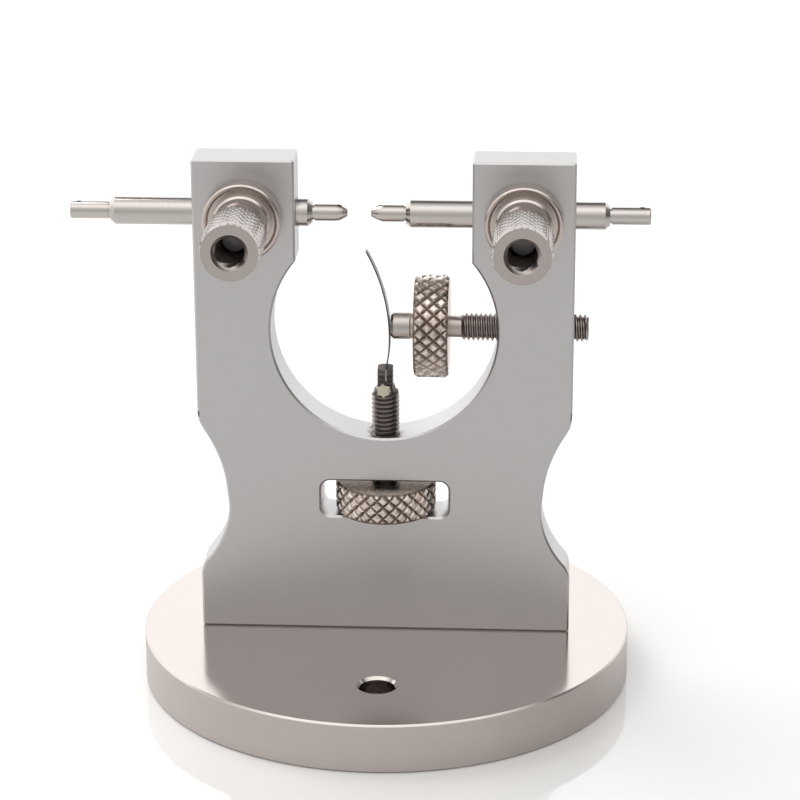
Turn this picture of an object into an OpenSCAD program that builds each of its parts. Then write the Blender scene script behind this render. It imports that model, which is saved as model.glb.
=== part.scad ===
// Balance truing caliper.
// A lyre-shaped plate stands on a round base and carries two sliding spindles,
// each locked by a draw bolt with a hollow knurled nut. A spring feeler rides on
// a keyed screw that a captive wheel lifts, and a side screw bends the feeler.
// Millimetres, +Z up, +X along the spindles, origin under the centre of the base.

/* [Base] */
// Diameter of the round base
base_d = 53; // [48:0.5:60]
// Thickness of the base
base_t = 5.4; // [4.4:0.1:7]
// Chamfer on the base's two rims
base_edge = 0.4; // [0.2:0.05:0.8]
// Diameter of the bench screw hole
bench_hole_d = 3.74; // [3:0.02:4.5]
// Distance of the bench screw hole in front of the centre
bench_hole_y = 16.9; // [13:0.1:18]
// Chamfer at the mouths of the bench screw hole
bench_hole_edge = 0.3; // [0.1:0.05:0.5]

/* [Base screws] */
// Thread diameter of the two screws that hold the plate to the base
base_screw_d = 3; // [2.5:0.1:3.4]
// Head diameter of these countersunk screws
base_screw_head_d = 5.5; // [5:0.1:6.2]
// Height of the countersunk head's cone
base_screw_cone = 1.65; // [1.2:0.05:1.9]
// Distance between the two screws
base_screw_pitch = 25; // [20:0.5:28]
// Length of thread that each screw has in the plate's foot
base_screw_grip = 5.6; // [4:0.2:8]
// Depth of each head below the base's underside
base_screw_sink = 0.2; // [0.1:0.05:0.5]
// Width across the flats of the hexagon socket
base_screw_hex = 2; // [1.5:0.1:2.4]
// Depth of the hexagon socket
base_screw_hex_depth = 1.2; // [0.8:0.1:1.5]

/* [Plate] */
// Width of the plate at its foot and its arms
plate_w = 40; // [37:0.5:44]
// Thickness of the plate
plate_t = 5; // [4.6:0.1:6]
// Gap between the two arms
arm_gap = 18.52; // [16:0.1:20]
// Diameter of the round bow below the gap
bow_d = 24; // [22:0.2:25]
// Height of the bow's centre above the plate's foot
bow_h = 34.1; // [33:0.1:37]
// Height of the arms' tops above the bow's centre
arm_h = 18.5; // [17:0.1:21]
// Radius of the waist scallop on each side
waist_r = 10; // [9:0.2:11]
// Depth of the waist scallop
waist_depth = 3.2; // [2:0.1:4]
// Height of the waist's centre above the plate's foot
waist_h = 14.5; // [13.8:0.1:16]
// Radius of the rounding above the waist
waist_top_r = 6; // [4:0.2:8]
// Radius of the rounding below the waist
waist_foot_r = 3; // [1.5:0.1:4]

/* [Spindles] */
// Depth of the spindle axis below the arms' tops
spindle_drop = 6.2; // [5:0.1:7]
// Place along X of the middle between the two tips
work_x = -2.64; // [-4:0.1:4]
// Gap between the two tips
tip_gap = 2.48; // [1:0.1:6]
// Diameter of the flat at each spindle's tip
tip_d = 0.78; // [0.5:0.02:1]
// Length of the rounded tip
tip_l = 1.3; // [1:0.1:2]
// Diameter of the slender inner end
inner_d = 1.8; // [1.4:0.05:2]
// Length of the slender inner end, after the tip
inner_l = 2.35; // [2:0.05:4]
// Length of each bevel between the barrel and a slender end
bevel_l = 0.5; // [0.3:0.05:0.8]
// Diameter where each bevel ends
bevel_d = 2.15; // [2.05:0.05:2.4]
// Depth of the undercut beside each bevel
undercut = 0.12; // [0.05:0.01:0.2]
// Width of that undercut
undercut_l = 0.2; // [0.1:0.05:0.3]
// Diameter of the barrel that slides in the arm
barrel_d = 2.95; // [2.6:0.05:3.2]
// Length of the barrel
barrel_l = 20.3; // [18:0.1:22]
// Diameter of the slender outer end
outer_d = 1.86; // [1.5:0.02:2.04]
// Length of the slender outer end
outer_l = 4.25; // [3:0.05:6]
// Diameter of the sight holes near both ends
sight_d = 0.5; // [0.3:0.05:0.6]
// Distance of the inner sight hole from the tip
sight_in = 0.82; // [0.6:0.02:1.2]
// Distance of the outer sight hole from the end
sight_out = 0.9; // [0.7:0.05:2]
// Diameter of the pivot hole in each end face
pivot_d = 0.24; // [0.12:0.02:0.3]

/* [Clamps] */
// Diameter of the draw bolt's body in the arm
bolt_d = 5; // [4.8:0.1:5.4]
// Depth of the bolt's rear end below the arm's rear face
bolt_sink = 0.25; // [0.2:0.05:0.4]
// Depth of the bolt's front shoulder below the arm's front face
bolt_shy = 0.3; // [0.1:0.05:0.4]
// Diameter of the stud that runs forward from the bolt
stud_d = 3; // [2.6:0.1:3.2]
// Depth of the stud's end inside the nut's front face
stud_shy = 4.8; // [2.5:0.1:5.5]
// Diameter of the collar against the arm
collar_d = 8.2; // [7.4:0.1:9.4]
// Thickness of the collar
collar_t = 2.1; // [1.6:0.05:2.6]
// Bevel on the collar's front rim
collar_edge = 0.15; // [0.1:0.05:0.4]
// Depth of the shallow dish in the collar's front
collar_dish = 0.25; // [0.1:0.05:0.5]
// Diameter of the washer in front of the collar
washer_d = 5.95; // [5.5:0.05:6.6]
// Thickness of the washer
washer_t = 0.7; // [0.5:0.05:1.2]
// Bevel on the washer's front rim
washer_edge = 0.2; // [0.1:0.05:0.3]
// Diameter of the nut's plain neck
neck_d = 5.1; // [4.6:0.1:5.3]
// Length of that neck
neck_l = 3.5; // [2.6:0.05:4.2]
// Diameter over the nut's knurl
nut_d = 6.3; // [5.8:0.1:7]
// Length of the nut's knurled part
nut_l = 6.9; // [5.8:0.1:9]
// Bevel on the nut's front rim
nut_edge = 0.25; // [0.15:0.05:0.4]
// Bevel at the mouth of the nut's bore
nut_mouth = 0.28; // [0.15:0.01:0.4]

/* [Lift wheel and screw] */
// Diameter of the wheel in the window
lift_d = 10.8; // [9.4:0.1:12]
// Thickness of that wheel
lift_t = 3.35; // [2.6:0.05:3.8]
// Bevel on that wheel's rims
lift_edge = 0.3; // [0.2:0.05:0.5]
// Thickness of the bridge between the bow and the window
bridge_t = 4.88; // [4:0.02:6]
// Space above the wheel
lift_headroom = 0.6; // [0.3:0.05:0.9]
// Space between the wheel and each end of the window
window_side = 1.46; // [0.6:0.02:2]
// Radius of the window's corners
window_r = 1; // [0.5:0.1:1.4]
// Diameter of the feeler's lifting screw
stem_d = 3; // [2.6:0.1:3.2]
// Length of its thread that stands above the bow
stem_out = 4.3; // [4:0.1:5.4]
// Length of its tail below the window's floor
stem_tail = 4.4; // [3.5:0.1:5]
// Space below its tail
stem_pit = 4.5; // [3.4:0.1:5]
// Height of the shoulder above its thread
shoulder_h = 0.8; // [0.5:0.05:1]
// Height of the flattened head
head_h = 2.2; // [1.8:0.1:2.6]
// Width across the head's flats
head_w = 1.58; // [1.3:0.02:2]
// Bevel round the head's top
head_edge = 0.45; // [0.2:0.05:0.6]
// Width of the countersink at the bow's bottom
stem_mouth = 0.35; // [0.1:0.05:0.5]
// Width of the keyway down the screw's rear
key_w = 0.9; // [0.7:0.05:1.1]
// Depth of that keyway
key_depth = 0.55; // [0.4:0.05:0.7]
// Diameter of the key screw in the plate's rear
key_screw_d = 2; // [1.6:0.1:2.4]
// Depth of the key screw below the plate's rear face
key_screw_sink = 0.15; // [0.05:0.05:0.3]

/* [Feeler] */
// Thickness of the spring blade
blade_t = 0.15; // [0.1:0.01:0.18]
// Width of the blade at its foot
blade_w = 2; // [1.6:0.1:2.4]
// Width of the blade at its tip
blade_tip_w = 0.8; // [0.5:0.1:1.4]
// Place along X of the slot in the head
slot_x = 0.1; // [-0.2:0.05:0.2]
// Depth of the slot in the head
slot_depth = 1.5; // [1.2:0.1:1.9]
// Height of the blade's belly above the head
belly_h = 3.5; // [2.8:0.1:4.2]
// Depth of the blade's tip below the spindle axis
blade_tip_drop = 4.1; // [3.4:0.1:6]
// Radius of the bend below the belly
blade_low_r = 15.5; // [11:0.5:20]
// Radius of the bend above the belly
blade_top_r = 19.2; // [17:0.2:26]
// Diameter of the pin below the slot
pin_d = 1.2; // [0.9:0.1:1.3]
// Length of that pin
pin_l = 2.9; // [2:0.1:3.2]

/* [Side screw] */
// Depth of the side screw below the bow's centre
adjust_drop = 0.05; // [-1:0.05:1]
// Diameter of the side screw's thread
adjust_d = 3; // [2.6:0.1:3.2]
// Diameter of the swivel nose
nose_d = 2.87; // [2.4:0.01:3.2]
// Length of the swivel nose
nose_l = 2.1; // [1.5:0.05:2.4]
// Bevel on the nose's front rim
nose_edge = 0.3; // [0.1:0.05:0.4]
// Diameter of the journal inside the nose
journal_d = 1.2; // [0.9:0.1:1.5]
// Length of that journal
journal_l = 1.1; // [0.8:0.05:1.2]
// Diameter of the seat that carries the knurled wheel
seat_d = 2.7; // [2.2:0.1:2.8]
// Gap between the nose and the knurled wheel
nose_gap = 0.42; // [0.3:0.02:0.8]
// Diameter of the knurled wheel
wheel_d = 10.9; // [9:0.1:12]
// Thickness of the knurled wheel
wheel_t = 3.65; // [2.6:0.05:3.8]
// Bevel on the knurled wheel's rims
wheel_edge = 0.3; // [0.2:0.05:0.5]
// Diameter of the plain neck behind the wheel
waist_d = 2.3; // [1.9:0.1:2.5]
// Length of that neck
waist_l = 1.6; // [1.2:0.1:2]
// Length of thread that shows beyond the arm's outer face
adjust_out = 1.55; // [1:0.05:4]

/* [Knurls] */
// Distance between neighbouring diamonds of the two wheels' knurl
knurl_pitch = 1.42; // [1.2:0.01:1.6]
// Depth of that knurl's grooves
knurl_depth = 0.24; // [0.15:0.01:0.28]

/* [Fits] */
// Radial clearance of the spindles and draw bolts in their bores
slide_fit = 0.03; // [0.02:0.01:0.06]
// Radial clearance over the crests of a thread
thread_fit = 0.04; // [0.02:0.01:0.08]
// Radial clearance of pieces that don't move in their holes
still_fit = 0.02; // [0.01:0.01:0.04]
// Clearance between faces that turn on each other
face_fit = 0.02; // [0.01:0.01:0.04]
// Travel of a draw bolt from locked to loose
bolt_travel = 0.17; // [0.1:0.01:0.18]
// Gap between the blade's belly and the nose
nose_fit = 0.05; // [0.03:0.01:0.1]
// Gap between the lift wheel and the window's floor
lift_fit = 0.12; // [0.03:0.01:0.2]

/* [Hidden] */

$fn = 96;
// Overshoot of a cut past the face that it opens
past = 1;
// Segments in one arc of an outline
arc_n = 24;

plate_h = bow_h + arm_h;
spindle_z = base_t + plate_h - spindle_drop;
bow_z = base_t + bow_h;
bow_floor = bow_z - bow_d / 2;
adjust_z = bow_z - adjust_drop;
front = -plate_t / 2;
rear = plate_t / 2;
arm_x = (arm_gap + plate_w) / 4;

window_top = bow_floor - bridge_t;
window_h = lift_fit + lift_t + lift_headroom;
window_z = window_top - window_h;
window_w = lift_d + 2 * window_side;

nut_back = front - collar_t + collar_dish - washer_t - face_fit;
nut_front = nut_back - neck_l - nut_l;

stem_bottom = window_z - stem_tail;
shoulder_z = bow_floor + stem_out;
head_z = shoulder_z + shoulder_h;
head_top = head_z + head_h;
slot_floor = head_top - slot_depth;
pin_z = slot_floor - pin_d / 2 - 0.15;
key_z = window_top + bridge_t / 2;

belly_z = head_top + belly_h;
blade_tip_h = spindle_z - blade_tip_drop - belly_z;
belly_x = slot_x + blade_low_r - sqrt(blade_low_r * blade_low_r - belly_h * belly_h);
nose_x = belly_x + blade_t / 2 + nose_fit;
ring_x = nose_x + nose_l + face_fit;
wheel_x = ring_x + nose_gap;
adjust_end = plate_w / 2 + adjust_out;

// Points of an arc about (cx, cy), from angle a0 to a1
function arc(cx, cy, r, a0, a1) =
    [for (i = [0:arc_n]) let (a = a0 + (a1 - a0) * i / arc_n) [cx + r * cos(a), cy + r * sin(a)]];

// Points of a rectangle with round corners, its lower left corner at (x, y)
function soft_rectangle(x, y, w, h, r) = concat(
    arc(x + w - r, y + r, r, -90, 0),
    arc(x + w - r, y + h - r, r, 0, 90),
    arc(x + r, y + h - r, r, 90, 180),
    arc(x + r, y + r, r, 180, 270)
);

// Stands an outline drawn in X and Z upright, centred on Y
module upright(t) {
    translate([0, t / 2, 0])
        rotate([90, 0, 0])
            linear_extrude(t)
                children();
}

// A round piece along X that starts at x
module bar_x(x, l, d) {
    translate([x, 0, 0])
        rotate([0, 90, 0])
            cylinder(h = l, d = d);
}

// A round piece along Y from y0 forward to y1
module bar_y(y0, y1, d) {
    translate([0, y0, 0])
        rotate([90, 0, 0])
            cylinder(h = y0 - y1, d = d);
}

// A turned disc along Z with beveled rims
module disc(d, t, edge) {
    rotate_extrude()
        polygon([
            [0, 0], [d / 2 - edge, 0], [d / 2, edge],
            [d / 2, t - edge], [d / 2 - edge, t], [0, t]
        ]);
}

// Whether a point of the knurl's net lies on a diamond's flat top. Every fourth
// point is a diamond's centre, in rows that alternate, and its four neighbours
// belong to the flat; the points between them lie in the crossed grooves.
function on_flat(i, j) =
    (i + j) % 2 == 1 || (i % 4 == 0 && j % 4 == 0) || (i % 4 == 2 && j % 4 == 2);

// Whether a net cell folds along its rising diagonal, so that folds follow the
// grooves' bottoms and the rims of the flats
function folds_up(i, j) =
    (i + j) % 2 == 0
        ? !on_flat(i, j) && !on_flat(i + 1, j + 1)
        : on_flat(i + 1, j) || on_flat(i, j + 1);

// A wheel along Z with diamonds round it that run out into beveled rims
module knurled_disc(d, t, edge) {
    around = 4 * round(PI * d / knurl_pitch);
    rows = 2 * round(2 * t / knurl_pitch);
    r = d / 2;
    points = [
        for (j = [0:rows])
            for (i = [0:around - 1])
                let (
                    a = 360 * i / around,
                    reach = j % rows == 0 ? r - edge : on_flat(i, j) ? r : r - knurl_depth
                )
                [reach * cos(a), reach * sin(a), t * j / rows]
    ];
    sides = [
        for (j = [0:rows - 1])
            for (i = [0:around - 1])
                let (
                    here = j * around + i,
                    next = j * around + (i + 1) % around,
                    over = here + around,
                    over_next = next + around
                )
                each folds_up(i, j)
                    ? [[here, over, over_next], [here, over_next, next]]
                    : [[here, over, next], [next, over, over_next]]
    ];
    floor_face = [for (i = [0:around - 1]) i];
    top_face = [for (i = [around - 1:-1:0]) rows * around + i];
    polyhedron(points, concat([floor_face], sides, [top_face]));
}

module base() {
    color("silver")
        difference() {
            disc(base_d, base_t, base_edge);
            translate([0, -bench_hole_y, 0])
                bench_hole();
            for (side = [-1, 1])
                translate([side * base_screw_pitch / 2, 0, 0])
                    base_screw_seat();
        }
}

// Through hole with a bevel at both mouths
module bench_hole() {
    mouth_r = bench_hole_d / 2 + bench_hole_edge + past;
    translate([0, 0, -past])
        cylinder(h = base_t + 2 * past, d = bench_hole_d);
    translate([0, 0, base_t - bench_hole_edge])
        cylinder(h = bench_hole_edge + past, r1 = bench_hole_d / 2, r2 = mouth_r);
    translate([0, 0, -past])
        cylinder(h = bench_hole_edge + past, r1 = mouth_r, r2 = bench_hole_d / 2);
}

// Countersunk hole for a base screw, open at the underside
module base_screw_seat() {
    r = base_screw_d / 2 + still_fit;
    head_r = base_screw_head_d / 2 + still_fit;
    translate([0, 0, -past])
        cylinder(h = base_t + 2 * past, r = r);
    translate([0, 0, -past])
        cylinder(h = base_screw_sink + past, r = head_r);
    translate([0, 0, base_screw_sink])
        cylinder(h = base_screw_cone, r1 = head_r, r2 = r);
}

module base_screw(side) {
    color("dimgray")
        translate([side * base_screw_pitch / 2, 0, base_screw_sink])
            difference() {
                union() {
                    cylinder(h = base_screw_cone, d1 = base_screw_head_d, d2 = base_screw_d);
                    cylinder(h = base_t + base_screw_grip - base_screw_sink, d = base_screw_d);
                }
                translate([0, 0, -past])
                    cylinder(h = base_screw_hex_depth + past, d = base_screw_hex / cos(30), $fn = 6);
            }
}

module left_base_screw() {
    base_screw(-1);
}

module right_base_screw() {
    base_screw(1);
}

// Right edge of the plate's outline, from the foot to the top of the arm
function plate_edge() =
    let (
        half = plate_w / 2,
        cx = half + waist_r - waist_depth,
        foot_x = half - waist_foot_r,
        foot_z = waist_h - sqrt(pow(waist_r + waist_foot_r, 2) - pow(cx - foot_x, 2)),
        top_x = half - waist_top_r,
        top_z = waist_h + sqrt(pow(waist_r + waist_top_r, 2) - pow(cx - top_x, 2)),
        foot_a = atan2(waist_h - foot_z, cx - foot_x),
        top_a = atan2(top_z - waist_h, cx - top_x)
    )
    concat(
        [[half, 0]],
        arc(foot_x, foot_z, waist_foot_r, 0, foot_a),
        arc(cx, waist_h, waist_r, 180 + foot_a, 180 - top_a),
        arc(top_x, top_z, waist_top_r, -top_a, 0),
        [[half, plate_h]]
    );

module plate_outline() {
    edge = plate_edge();
    polygon(concat(edge, [for (i = [len(edge) - 1:-1:0]) [-edge[i].x, edge[i].y]]));
}

module plate() {
    color("lightgray")
        difference() {
            translate([0, 0, base_t])
                upright(plate_t)
                    plate_outline();
            translate([0, rear + past, bow_z])
                rotate([90, 0, 0])
                    cylinder(h = plate_t + 2 * past, d = bow_d, $fn = 180);
            translate([-arm_gap / 2, front - past, bow_z])
                cube([arm_gap, plate_t + 2 * past, plate_h]);
            translate([0, 0, window_z])
                upright(plate_t + 2 * past)
                    polygon(soft_rectangle(-window_w / 2, 0, window_w, window_h, window_r));
            for (side = [-1, 1]) {
                translate([side * arm_x, 0, spindle_z])
                    clamp_bores();
                translate([side * base_screw_pitch / 2, 0, base_t - past])
                    cylinder(h = base_screw_grip + 2 * past, r = base_screw_d / 2 + still_fit);
            }
            stem_bore();
            translate([0, 0, adjust_z])
                bar_x(0, plate_w / 2 + past, adjust_d + 2 * thread_fit);
            translate([0, 0, key_z])
                bar_y(rear + past, 0, key_screw_d + 2 * still_fit);
        }
}

// The crossed bores in one arm for its spindle and its draw bolt
module clamp_bores() {
    bar_x(-plate_w / 2, plate_w, barrel_d + 2 * slide_fit);
    bar_y(rear + past, front - past, bolt_d + 2 * slide_fit);
}

// The bore for the lifting screw, from its pit up through the bow's floor
module stem_bore() {
    r = stem_d / 2 + thread_fit;
    pit_z = stem_bottom - stem_pit;
    translate([0, 0, pit_z])
        cylinder(h = bow_z - pit_z, r = r);
    translate([0, 0, bow_floor - stem_mouth])
        cylinder(h = stem_mouth + past, r1 = r, r2 = r + stem_mouth + past);
}

module key_screw() {
    y0 = rear - key_screw_sink;
    y1 = stem_d / 2 + thread_fit + face_fit;
    tip_y = stem_d / 2 - key_depth + 2 * face_fit;
    slot = key_screw_d / 6;
    color("dimgray")
        translate([0, 0, key_z])
            difference() {
                union() {
                    bar_y(y0, y1, key_screw_d);
                    bar_y(y0, tip_y, key_w - 4 * face_fit);
                }
                translate([-key_screw_d, y0 - slot, -slot / 2])
                    cube([2 * key_screw_d, slot + past, slot]);
            }
}

// Places a clamp piece, drawn along +Z, on an arm's front with +Z pointing forward
module on_arm(side, y) {
    translate([side * arm_x, y, spindle_z])
        rotate([90, 0, 0])
            children();
}

module collar(side) {
    r = collar_d / 2;
    dish_r = washer_d / 2 + 2 * collar_dish;
    bore_r = stud_d / 2 + 3 * thread_fit;
    color("silver")
        on_arm(side, front)
            rotate_extrude()
                polygon([
                    [bore_r, 0], [r - 0.1, 0], [r, 0.1], [r, collar_t - collar_edge],
                    [r - collar_edge, collar_t], [dish_r + collar_dish, collar_t],
                    [dish_r, collar_t - collar_dish], [bore_r, collar_t - collar_dish]
                ]);
}

module left_collar() {
    collar(-1);
}

module right_collar() {
    collar(1);
}

module washer(side) {
    r = washer_d / 2;
    bore_r = stud_d / 2 + 2 * thread_fit;
    color("gainsboro")
        on_arm(side, front - collar_t + collar_dish)
            rotate_extrude()
                polygon([
                    [bore_r, 0], [r, 0], [r, washer_t - washer_edge],
                    [r - washer_edge, washer_t], [bore_r, washer_t]
                ]);
}

module left_washer() {
    washer(-1);
}

module right_washer() {
    washer(1);
}

// The cross bore holds the locked spindle at its rear wall
module bolt(side) {
    stud_end = nut_front + stud_shy;
    cross_d = barrel_d + 2 * slide_fit + 2 * bolt_travel + 2 * face_fit;
    cross_y = barrel_d / 2 + slide_fit - cross_d / 2;
    stud_edge = stud_d / 10;
    color("darkgray")
        translate([side * arm_x, 0, spindle_z])
            difference() {
                union() {
                    bar_y(rear - bolt_sink, front + bolt_shy, bolt_d);
                    bar_y(0, stud_end + stud_edge, stud_d);
                    translate([0, stud_end + stud_edge, 0])
                        rotate([90, 0, 0])
                            cylinder(h = stud_edge, r1 = stud_d / 2, r2 = stud_d / 2 - stud_edge);
                }
                translate([0, cross_y, 0])
                    bar_x(-bolt_d, 2 * bolt_d, cross_d);
            }
}

module left_bolt() {
    bolt(-1);
}

module right_bolt() {
    bolt(1);
}

// Hollow thumb nut: a plain neck behind, the knurled grip in front
module nut(side) {
    r = nut_d / 2;
    bore_r = stud_d / 2 + thread_fit;
    l = neck_l + nut_l;
    color("silver")
        on_arm(side, nut_back)
            rotate_extrude()
                polygon([
                    [bore_r, 0], [neck_d / 2, 0], [neck_d / 2, neck_l],
                    [r - nut_edge, neck_l], [r, neck_l + nut_edge], [r, l - nut_edge],
                    [r - nut_edge, l], [bore_r + nut_mouth, l], [bore_r, l - nut_mouth]
                ]);
}

module left_nut() {
    nut(-1);
}

module right_nut() {
    nut(1);
}

// Half outline of a spindle, as [radius, distance from the tip]
function spindle_outline() =
    let (
        shank = tip_l + inner_l,
        barrel_at = shank + bevel_l,
        barrel_end = barrel_at + barrel_l,
        outer_at = barrel_end + bevel_l,
        end = outer_at + outer_l,
        rise = (inner_d - tip_d) / 2,
        rim = 0.1
    )
    concat(
        [[0, 0]],
        [for (i = [0:5]) [tip_d / 2 + rise * sin(90 * i / 5), tip_l * i / 5]],
        [
            [inner_d / 2, shank - undercut_l], [inner_d / 2 - undercut, shank - undercut_l],
            [inner_d / 2 - undercut, shank], [bevel_d / 2, shank],
            [barrel_d / 2, barrel_at], [barrel_d / 2, barrel_end],
            [bevel_d / 2, outer_at], [outer_d / 2 - undercut, outer_at],
            [outer_d / 2 - undercut, outer_at + undercut_l], [outer_d / 2, outer_at + undercut_l],
            [outer_d / 2, end - rim], [outer_d / 2 - rim, end], [0, end]
        ]
    );

// Double-ended spindle with its inner tip at the origin, running out along +X
module spindle() {
    end = tip_l + inner_l + 2 * bevel_l + barrel_l + outer_l;
    difference() {
        rotate([0, 90, 0])
            rotate_extrude()
                polygon(spindle_outline());
        translate([sight_in, 0, 0])
            cylinder(h = barrel_d, d = sight_d);
        translate([end - sight_out, 0, 0])
            cylinder(h = barrel_d, d = sight_d);
        bar_x(-past, sight_in + past, pivot_d);
        bar_x(end - sight_out, sight_out + past, pivot_d);
    }
}

module left_spindle() {
    color("whitesmoke")
        translate([work_x - tip_gap / 2, 0, spindle_z])
            mirror([1, 0, 0])
                spindle();
}

module right_spindle() {
    color("whitesmoke")
        translate([work_x + tip_gap / 2, 0, spindle_z])
            spindle();
}

module lift_wheel() {
    color("tan")
        translate([0, 0, window_z + lift_fit])
            difference() {
                knurled_disc(lift_d, lift_t, lift_edge);
                translate([0, 0, -past])
                    cylinder(h = lift_t + 2 * past, r = stem_d / 2 + thread_fit);
            }
}

// Keyed screw with a flattened, slotted head for the blade
module feeler_screw() {
    r = stem_d / 2;
    tail_edge = 0.3;
    slot_w = blade_t + 2 * still_fit;
    color("dimgray")
        difference() {
            rotate_extrude()
                polygon([
                    [0, stem_bottom], [r - tail_edge, stem_bottom], [r, stem_bottom + tail_edge],
                    [r, head_top - head_edge], [r - head_edge, head_top], [0, head_top]
                ]);
            for (side = [0, 1])
                mirror([side, 0, 0])
                    upright(stem_d + 2 * past)
                        polygon([
                            [head_w / 2, head_top + past], [head_w / 2, head_z],
                            [r, shoulder_z], [r + past, shoulder_z], [r + past, head_top + past]
                        ]);
            translate([slot_x - slot_w / 2, -stem_d, slot_floor])
                cube([slot_w, 2 * stem_d, slot_depth + past]);
            translate([0, 0, pin_z])
                bar_y(stem_d, -stem_d, pin_d + 2 * still_fit);
            translate([-key_w / 2, r - key_depth, stem_bottom - past])
                cube([key_w, stem_d, shoulder_z - stem_bottom + past]);
        }
}

module feeler_pin() {
    color("burlywood")
        translate([0, 0, pin_z])
            bar_y(pin_l / 2 - key_depth, -pin_l / 2, pin_d);
}

// Side view of the blade: a straight foot in the slot and two arcs
function blade_side() =
    let (
        half = blade_t / 2,
        low_a = asin(belly_h / blade_low_r),
        top_a = asin(blade_tip_h / blade_top_r),
        low_x = belly_x - blade_low_r,
        top_x = belly_x - blade_top_r,
        foot = slot_floor + face_fit
    )
    concat(
        [[slot_x + half, foot]],
        arc(low_x, belly_z, blade_low_r + half, -low_a, 0),
        arc(top_x, belly_z, blade_top_r + half, 0, top_a),
        arc(top_x, belly_z, blade_top_r - half, top_a, 0),
        arc(low_x, belly_z, blade_low_r - half, 0, -low_a),
        [[slot_x - half, foot]]
    );

module feeler_blade() {
    tip_z = belly_z + blade_tip_h + past;
    color("slategray")
        intersection() {
            upright(blade_w + past)
                polygon(blade_side());
            translate([-plate_w / 2, 0, 0])
                rotate([90, 0, 90])
                    linear_extrude(plate_w)
                        polygon([
                            [-blade_w / 2, slot_floor], [blade_w / 2, slot_floor],
                            [blade_w / 2, belly_z], [blade_tip_w / 2, tip_z],
                            [-blade_tip_w / 2, tip_z], [-blade_w / 2, belly_z]
                        ]);
        }
}

// Swivel nose that presses on the blade without turning
module adjuster_nose() {
    r = nose_d / 2;
    bore_r = journal_d / 2 + slide_fit;
    depth = journal_l + 2 * face_fit;
    color("silver")
        translate([nose_x, 0, adjust_z])
            rotate([0, 90, 0])
                rotate_extrude()
                    polygon([
                        [0, 0], [r - nose_edge, 0], [r, nose_edge], [r, nose_l - 0.1],
                        [r - 0.1, nose_l], [bore_r, nose_l],
                        [bore_r, nose_l - depth], [0, nose_l - depth]
                    ]);
}

module adjuster_screw() {
    wheel_end = wheel_x + wheel_t;
    thread_x = wheel_end + waist_l;
    r = adjust_d / 2;
    end_edge = 0.3;
    color("gray")
        translate([0, 0, adjust_z])
            rotate([0, 90, 0])
                rotate_extrude()
                    polygon([
                        [0, ring_x - journal_l], [journal_d / 2, ring_x - journal_l],
                        [journal_d / 2, ring_x], [seat_d / 2, ring_x],
                        [seat_d / 2, wheel_end], [waist_d / 2, wheel_end],
                        [waist_d / 2, thread_x - end_edge], [r, thread_x],
                        [r, adjust_end - end_edge], [r - end_edge, adjust_end], [0, adjust_end]
                    ]);
}

module adjuster_wheel() {
    color("silver")
        translate([wheel_x, 0, adjust_z])
            rotate([0, 90, 0])
                difference() {
                    knurled_disc(wheel_d, wheel_t, wheel_edge);
                    translate([0, 0, -past])
                        cylinder(h = wheel_t + 2 * past, r = seat_d / 2 + still_fit);
                }
}

base();
left_base_screw();
right_base_screw();
plate();
key_screw();
left_collar();
right_collar();
left_washer();
right_washer();
left_bolt();
right_bolt();
left_nut();
right_nut();
left_spindle();
right_spindle();
lift_wheel();
feeler_screw();
feeler_pin();
feeler_blade();
adjuster_nose();
adjuster_screw();
adjuster_wheel();
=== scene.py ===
import math

import bmesh
import bpy
from mathutils import Matrix, Vector


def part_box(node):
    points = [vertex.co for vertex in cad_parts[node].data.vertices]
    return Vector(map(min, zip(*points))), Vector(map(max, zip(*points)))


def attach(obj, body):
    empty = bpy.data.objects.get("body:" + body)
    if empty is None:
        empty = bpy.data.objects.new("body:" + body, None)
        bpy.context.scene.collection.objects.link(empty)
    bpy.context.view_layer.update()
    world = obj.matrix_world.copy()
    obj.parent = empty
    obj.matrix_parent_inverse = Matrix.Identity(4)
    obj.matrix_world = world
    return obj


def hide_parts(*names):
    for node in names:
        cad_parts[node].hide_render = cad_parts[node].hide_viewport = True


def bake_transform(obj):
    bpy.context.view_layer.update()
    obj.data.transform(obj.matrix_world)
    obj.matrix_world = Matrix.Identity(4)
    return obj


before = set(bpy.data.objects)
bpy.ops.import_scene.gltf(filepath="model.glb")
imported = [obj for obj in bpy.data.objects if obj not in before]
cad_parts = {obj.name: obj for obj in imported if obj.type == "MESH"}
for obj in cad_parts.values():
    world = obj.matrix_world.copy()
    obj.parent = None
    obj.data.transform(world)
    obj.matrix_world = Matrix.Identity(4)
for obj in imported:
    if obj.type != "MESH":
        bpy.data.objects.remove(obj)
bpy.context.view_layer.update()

# The camera stands in front of the tool and a little above it, as far away as for a
# product photograph taken with a long lens.
CAMERA_AT = (0.017167, -0.283093, 0.131826)
CAMERA_YAW = 0.0551
CAMERA_PITCH = -0.3415
CAMERA_ROLL = -0.00305
LENS_PX = 2808.5
PICTURE_PX = 800
SENSOR_MM = 36
NEAREST = 0.01
FARTHEST = 20


def in_scene(name, data):
    """A new object in the scene, from a mesh, a lamp or a camera."""
    made = bpy.data.objects.new(name, data)
    bpy.context.scene.collection.objects.link(made)
    return made


def photo_camera():
    optics = bpy.data.cameras.new("photo_camera")
    optics.sensor_width = SENSOR_MM
    optics.lens = SENSOR_MM * LENS_PX / PICTURE_PX
    optics.clip_start = NEAREST
    optics.clip_end = FARTHEST
    camera = in_scene("photo_camera", optics)
    turn = Matrix.Rotation(CAMERA_YAW, 4, "Z")
    tilt = Matrix.Rotation(math.pi / 2 + CAMERA_PITCH, 4, "X")
    roll = Matrix.Rotation(CAMERA_ROLL, 4, "Z")
    camera.matrix_world = Matrix.Translation(CAMERA_AT) @ turn @ tilt @ roll
    bpy.context.scene.camera = camera


photo_camera()

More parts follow.
